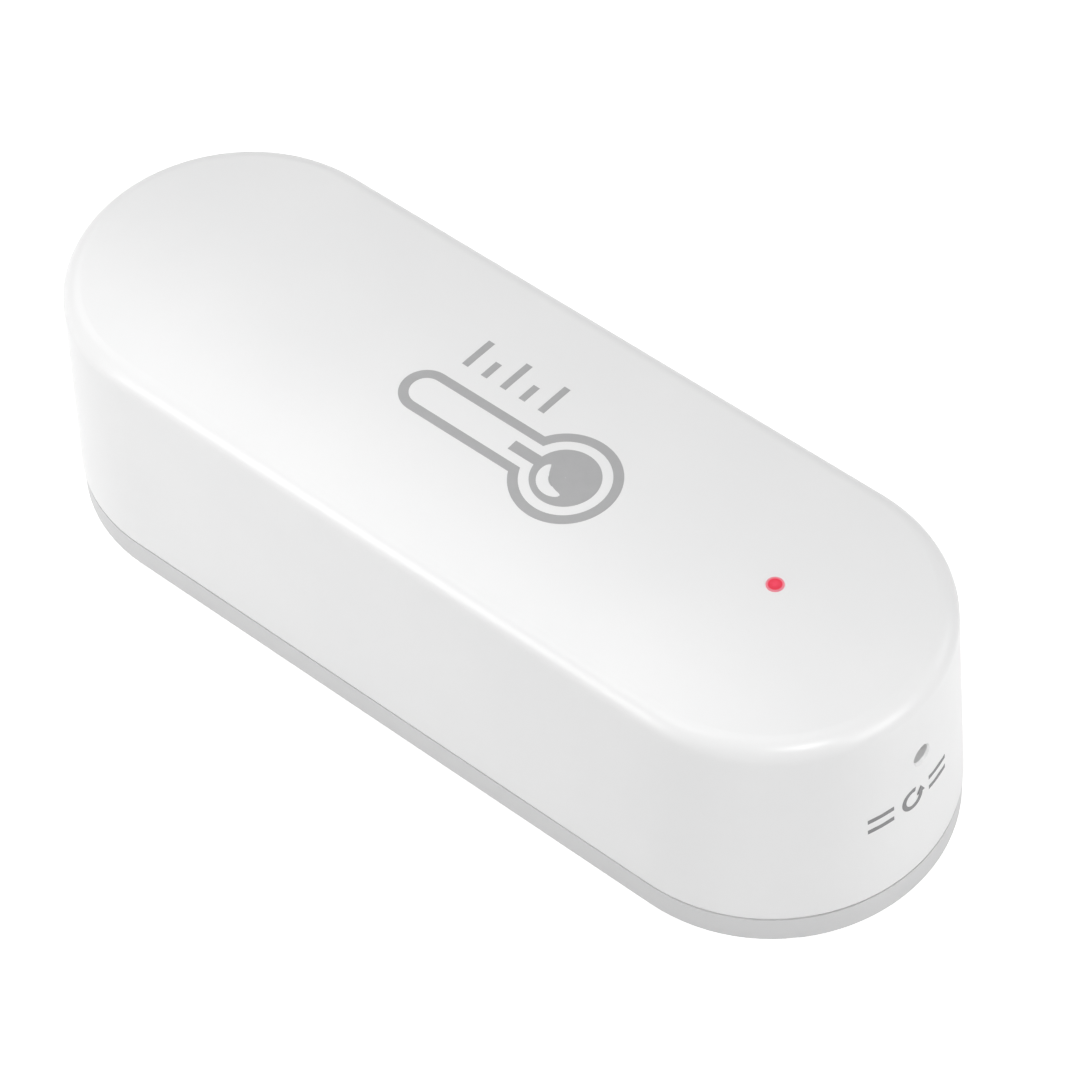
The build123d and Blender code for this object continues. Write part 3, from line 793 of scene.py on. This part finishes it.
def screw_zinc():
    """Zinc-plated steel: spun rings on the heads, a rolled thread on the shanks."""
    light, dark = (0.60, 0.61, 0.62, 1), (0.50, 0.505, 0.51, 1)
    finish, sockets = plated_metal("screw_zinc", light, dark, roughness=0.24)
    low, high = box("tray_screws")
    beside_x = abs(finish.x) - (high.x - screw_head_radius)
    beside_y = abs(finish.y) - (high.y - screw_head_radius)
    rings = spun_rings(finish, off_axis(beside_x, beside_y), per_mm=16)
    climb = finish.z + heading(beside_y, beside_x) * (screw_thread_pitch / math.tau)
    ridge = folded(climb, screw_thread_pitch / 2)
    on_shank = finish.z > low.z + screw_head_height
    relief = rings * screw_ring_share * (1 - on_shank) + ridge * on_shank
    sockets["Normal"] = finish.bump(relief, depth=0.2)
    return finish.surface(sockets)


paint(tray_plastic(), "battery_tray")
paint(screw_zinc(), "tray_screws")


# The contacts are stamped from nickel-plated spring steel, and the springs are wound
# from plated round wire. The tails of two contacts come up through the board, where
# each stands in a joint of solder.
board_low_z, board_high_z = (corner.z for corner in box("circuit_board"))
tinned_below = 0.5
tinned_above = 0.4
solder_rings = ((-0.02, 0.55), (0.03, 0.53), (0.07, 0.36), (0.14, 0.20), (0.24, 0.09), (0.38, 0.02))


def contact_nickel():
    """Warm nickel with an upright rolling grain, rub marks and tinned tails."""
    light, dark, tin = (0.67, 0.64, 0.58, 1), (0.56, 0.53, 0.47, 1), (0.70, 0.70, 0.69, 1)
    finish, sockets = plated_metal("contact_nickel", light, dark, roughness=0.18, shares=(1, 1, 0.08))
    scratches = finish.noise(per_mm=5, detail=5, shares=(1, 0.15, 1))
    rubbed = finish.step(scratches, 0.56, 0.66)
    tinned = finish.step(finish.z, board_low_z - tinned_below, board_low_z + tinned_above)
    sockets["Base Color"] = finish.blend(tinned, sockets["Base Color"], tin)
    sockets["Roughness"] = sockets["Roughness"] + 0.14 * rubbed + 0.1 * tinned
    return finish.surface(sockets)


def spring_steel():
    """Bright plated wire with a fine grain and a dull bloom."""
    light, dark = (0.63, 0.62, 0.60, 1), (0.47, 0.46, 0.44, 1)
    finish, sockets = plated_metal("spring_steel", light, dark, roughness=0.20, depth=0.003)
    return finish.surface(sockets)


def solder_tin():
    """Reflowed tin: bright, slightly lumpy and dull in patches."""
    light, dark = (0.72, 0.715, 0.70, 1), (0.58, 0.575, 0.56, 1)
    finish, sockets = plated_metal("tail_solder", light, dark, roughness=0.22)
    sockets["Normal"] = finish.bump(finish.noise(per_mm=3), depth=0.03)
    return finish.surface(sockets)


def tail_edges(contact):
    """The left, right, near and far edges of a contact's tail, over the board."""
    points = [vertex.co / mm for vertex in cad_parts[contact].data.vertices]
    tail = [point for point in points if point.z > board_high_z]
    across, along = [point.x for point in tail], [point.y for point in tail]
    return min(across), max(across), min(along), max(along)


def add_solder(contact, material):
    """A joint round a contact's flat tail: rounded rings by their rise and their reach."""
    left, right, near, far = tail_edges(contact)
    corners = ((right, far, 0), (left, far, 90), (left, near, 180), (right, near, 270))
    name = contact.replace("contact", "tail_solder")
    mesh = bpy.data.meshes.new(name)
    shape = bmesh.new()
    rings = []
    for rise, reach in solder_rings:
        outline = []
        for x, y, turn in corners:
            outline += arc(x, y, reach, turn, turn + 90, steps=6)
        rings.append([shape.verts.new(Vector((x, y, board_high_z + rise)) * mm) for x, y in outline])
    for lower, upper in zip(rings, rings[1:]):
        for k in range(len(lower)):
            after = (k + 1) % len(lower)
            shape.faces.new((lower[k], lower[after], upper[after], upper[k]))
    shape.faces.new(rings[0][::-1])
    shape.faces.new(rings[-1])
    for face in shape.faces:
        face.smooth = True
    shape.to_mesh(mesh)
    shape.free()
    mesh.materials.append(material)
    joint = add_object(name, mesh)
    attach(joint, "housing")


paint(contact_nickel(), "positive_contact", "negative_contact", "bridge_contact")
paint(spring_steel(), "negative_spring", "bridge_spring")
solder = solder_tin()
for contact in ("positive_contact", "negative_contact"):
    add_solder(contact, solder)


# The circuit board is glass-filled laminate under a green mask, with tracks, plated
# holes and bare tan edges. The radio is a small board of its own, black, with a folded
# tin-plated shield and a gold zigzag aerial.
board_skin = 0.02
track_half_share = 0.17
hole_pad_share = 0.36
hole_share = 0.16
lengthwise_share, lengthwise_run = 0.55, 5
crosswise_share, crosswise_run = 0.34, 4
holed_share = 0.12
main_pitch, radio_pitch = 1.15, 0.8
edge_pad_pitch, edge_pad_half, edge_pad_reach = 1.27, 0.38, 0.42
edge_pads_start, edge_pads_stop = 5.0, 0.6
edge_hole_radius = 0.2


def chance(finish, *parts):
    """An even random number for each set of whole numbers. The last one names the draw."""
    place = finish.add("ShaderNodeCombineXYZ", sockets=dict(enumerate(parts)))
    return finish.add("ShaderNodeTexWhiteNoise", sockets={"Vector": place}, out="Value")


def ringed(finish, node, gap, line_width):
    """1 on a thin printed frame round a part, seen from above."""
    low, high = box(node)
    beyond_x = abs(finish.x - (low.x + high.x) / 2) - (high.x - low.x) / 2
    beyond_y = abs(finish.y - (low.y + high.y) / 2) - (high.y - low.y) / 2
    return abs((beyond_x | beyond_y) - gap) < line_width / 2


def board_laminate(name, low_z, high_z, mask_colour, track_colour, pitch):
    """Solder mask over tracks and plated holes, and layered glass cloth at the edges."""
    # The black in each hole is painted shade, standing for the dark inside of the hole.
    plate, painted_hole_shade = (0.70, 0.69, 0.66, 1), (0.02, 0.02, 0.02, 1)
    finish = SolidFinish(name)
    cell_x, cell_y = finish.x / pitch, finish.y / pitch
    places = (cell_x, cell_y, cell_x / lengthwise_run, cell_y / crosswise_run)
    column, row, column_run, row_run = [place.joined("FLOOR", place) for place in places]
    inside_x, inside_y = cell_x - column - 0.5, cell_y - row - 0.5
    aside = off_axis(inside_x, inside_y)
    tracked_row = chance(finish, column_run, row, 1) > 1 - lengthwise_share
    tracked_column = chance(finish, column, row_run, 2) > 1 - crosswise_share
    lengthwise = tracked_row & (abs(inside_y) < track_half_share)
    crosswise = tracked_column & (abs(inside_x) < track_half_share)
    holed = chance(finish, column, row, 3) > 1 - holed_share
    pad = holed & (aside < hole_pad_share)
    hole = holed & (aside < hole_share)
    track = (lengthwise | crosswise) & (1 - pad)
    face = (abs(finish.z - high_z) < board_skin) | (abs(finish.z - low_z) < board_skin)
    cloth = finish.noise(per_mm=2, detail=3, shares=(1, 1, 6))
    weave = finish.noise(per_mm=5, detail=3)
    masked = finish.blend(track, mask_colour, track_colour)
    masked = finish.blend(hole, finish.blend(pad, masked, plate), painted_hole_shade)
    edge = finish.blend(cloth, (0.28, 0.23, 0.11, 1), (0.40, 0.34, 0.19, 1))
    relief = (track * 0.6 + pad * 0.8 - hole * 1.5) * face + cloth * (1 - face) + weave * 0.1
    sockets = {
        "Base Color": finish.blend(face, edge, masked),
        "Metallic": pad * face * 0.95,
        "Roughness": 0.62 - 0.32 * face + 0.12 * weave,
        "Normal": finish.bump(relief, depth=0.03),
    }
    return finish, sockets


def main_laminate():
    """The green board, with a white frame printed round each part on its top."""
    mask, track, white = (0.010, 0.085, 0.038, 1), (0.030, 0.17, 0.075, 1), (0.62, 0.63, 0.62, 1)
    faces = (board_low_z, board_high_z)
    finish, sockets = board_laminate("board_laminate", *faces, mask, track, main_pitch)
    frames = ringed(finish, "radio_board", gap=0.3, line_width=0.14)
    for node in ("regulator_legs", "power_coil", "storage_capacitor", "lamp_base"):
        frames = frames | ringed(finish, node, gap=0.35, line_width=0.12)
    for node in ("capacitor_bodies", "resistor_bodies"):
        frames = frames | ringed(finish, node, gap=0.65, line_width=0.12)
    printed = frames & (finish.z > board_high_z - board_skin)
    sockets["Base Color"] = finish.blend(printed, sockets["Base Color"], white)
    sockets["Metallic"] = sockets["Metallic"] * (1 - printed)
    return finish.surface(sockets)


def radio_laminate():
    """The black radio board, with gold half-holes along both its long edges."""
    mask, track = (0.012, 0.012, 0.014, 1), (0.035, 0.035, 0.04, 1)
    low, high = box("radio_board")
    finish, sockets = board_laminate("radio_laminate", low.z, high.z, mask, track, radio_pitch)
    along = folded(finish.x - low.x, edge_pad_pitch / 2)
    from_edge = high.y - abs(finish.y)
    padded = (finish.x > low.x + edge_pads_start) & (finish.x < high.x - edge_pads_stop)
    pad = (from_edge < edge_pad_reach) & (along < edge_pad_half) & padded
    hole = off_axis(along, from_edge) < edge_hole_radius
    # The darker gold inside each half-hole is painted shade.
    gold = finish.blend(hole, (0.80, 0.57, 0.25, 1), (0.30, 0.20, 0.08, 1))
    sockets["Base Color"] = finish.blend(pad, sockets["Base Color"], gold)
    sockets["Metallic"] = sockets["Metallic"] | pad
    return finish.surface(sockets)


def shield_tin():
    """Bright tin with faint dents and finger bloom."""
    light, dark = (0.72, 0.72, 0.71, 1), (0.60, 0.60, 0.59, 1)
    finish, sockets = plated_metal("shield_tin", light, dark, roughness=0.22, shares=(0.07, 1, 1))
    sockets["Normal"] = finish.bump(finish.noise(per_mm=0.35), depth=0.05)
    return finish.surface(sockets)


def aerial_gold():
    """Thin gold over copper, a little grainy."""
    light, dark = (0.83, 0.60, 0.27, 1), (0.72, 0.47, 0.20, 1)
    finish, sockets = plated_metal("aerial_gold", light, dark, roughness=0.24)
    return finish.surface(sockets)


paint(main_laminate(), "circuit_board")
paint(radio_laminate(), "radio_board")
paint(shield_tin(), "radio_shield")
paint(aerial_gold(), "radio_aerial")


# The small parts are soldered flat on the board: a regulator, a power coil, a storage
# capacitor and a row each of capacitors and resistors. The sensor chip is under the
# board, with a pale filter over its port.
storage_band_start, storage_band_stop = 0.9, 0.4
storage_pad = 0.12
glaze_depth = 0.06
pin_mark_share, pin_mark_radius = 0.2, 0.16
filter_share, filter_radius = 0.5, 0.5


def moulded_resin(name, clean, dull):
    """Moulded epoxy or pressed powder with a fine grain and duller patches."""
    finish = SolidFinish(name)
    grain = finish.noise(per_mm=16, detail=3)
    patches = finish.noise(per_mm=2.2, detail=4)
    sockets = {
        "Base Color": finish.blend(finish.step(patches, 0.35, 0.8), clean, dull),
        "Roughness": 0.46 + 0.2 * grain,
        "Normal": finish.bump(grain, depth=0.006),
    }
    return finish, sockets


def marked_resin(name, node, colour, share, radius):
    """Black resin with a round pin mark or filter, a share of the way across its face."""
    clean, dull = (0.022, 0.022, 0.024, 1), (0.035, 0.035, 0.036, 1)
    finish, sockets = moulded_resin(name, clean, dull)
    low, high = box(node)
    mark = low + (high - low) * share
    dot = off_axis(finish.x - mark.x, finish.y - mark.y) < radius
    sockets["Base Color"] = finish.blend(dot, sockets["Base Color"], colour)
    return finish.surface(sockets)


def storage_resin():
    """Yellow moulded block with a brown band at its plus end and tinned ends."""
    clean, dull = (0.72, 0.45, 0.09, 1), (0.60, 0.36, 0.06, 1)
    brown, tin = (0.20, 0.07, 0.02, 1), (0.68, 0.67, 0.65, 1)
    finish, sockets = moulded_resin("storage_resin", clean, dull)
    low, high = box("storage_capacitor")
    band = (finish.x > high.x - storage_band_start) & (finish.x < high.x - storage_band_stop)
    tinned = (finish.x > high.x - storage_pad) | (finish.x < low.x + storage_pad)
    colour = finish.blend(band, sockets["Base Color"], brown)
    sockets["Base Color"] = finish.blend(tinned, colour, tin)
    sockets["Metallic"] = tinned * 0.9
    return finish.surface(sockets)


def coil_ferrite():
    """Dark grey pressed ferrite with paler patches."""
    clean, dull = (0.055, 0.055, 0.058, 1), (0.12, 0.12, 0.122, 1)
    finish, sockets = moulded_resin("coil_ferrite", clean, dull)
    return finish.surface(sockets)


def ceramic_tan():
    """Sintered tan ceramic with a faint mottle."""
    clean, dull = (0.42, 0.25, 0.13, 1), (0.35, 0.20, 0.10, 1)
    finish, sockets = moulded_resin("ceramic_tan", clean, dull)
    return finish.surface(sockets)


def resistor_glaze():
    """White ceramic with a black glaze over the top face."""
    clean, dull, ceramic = (0.03, 0.03, 0.032, 1), (0.015, 0.015, 0.017, 1), (0.70, 0.69, 0.66, 1)
    finish, sockets = moulded_resin("resistor_glaze", clean, dull)
    low, high = box("resistor_bodies")
    side = finish.z < high.z - glaze_depth
    sockets["Base Color"] = finish.blend(side, sockets["Base Color"], ceramic)
    return finish.surface(sockets)


for node, name, colour, share, radius in (
    ("regulator_body", "regulator_resin", (0.30, 0.30, 0.29, 1), pin_mark_share, pin_mark_radius),
    ("sensor_chip", "sensor_resin", (0.62, 0.62, 0.60, 1), filter_share, filter_radius),
):
    paint(marked_resin(name, node, colour, share, radius), node)
paint(coil_ferrite(), "power_coil")
paint(storage_resin(), "storage_capacitor")
paint(ceramic_tan(), "capacitor_bodies")
paint(resistor_glaze(), "resistor_bodies")
paint(solder, "chip_end_caps", "regulator_legs")


# The reset switch hangs under the board behind the pin hole: a black body, a folded
# stainless skin and a pale plunger that travels a quarter of a millimetre.
def switch_skin_steel():
    """Stainless sheet with a fine rolling grain along the fold."""
    light, dark = (0.60, 0.60, 0.59, 1), (0.48, 0.48, 0.47, 1)
    finish, sockets = plated_metal("switch_steel", light, dark, roughness=0.22, shares=(1, 0.08, 1))
    return finish.surface(sockets)


def plunger_plastic():
    """Pale slippery plastic with a fine grain."""
    light, dark = (0.68, 0.67, 0.64, 1), (0.60, 0.59, 0.56, 1)
    finish, colour, roughness, grain = white_plastic("plunger_plastic", light, dark, roughness=0.30)
    normal = finish.bump(grain, depth=0.004)
    return finish.surface({"Base Color": colour, "Roughness": roughness, "Normal": normal})


switch_black = dark_plastic("switch_black", (0.03, 0.03, 0.032, 1), (0.02, 0.02, 0.022, 1), 0.40)
paint(switch_black, "reset_switch_body")
paint(switch_skin_steel(), "reset_switch_skin")
paint(plunger_plastic(), "reset_plunger")
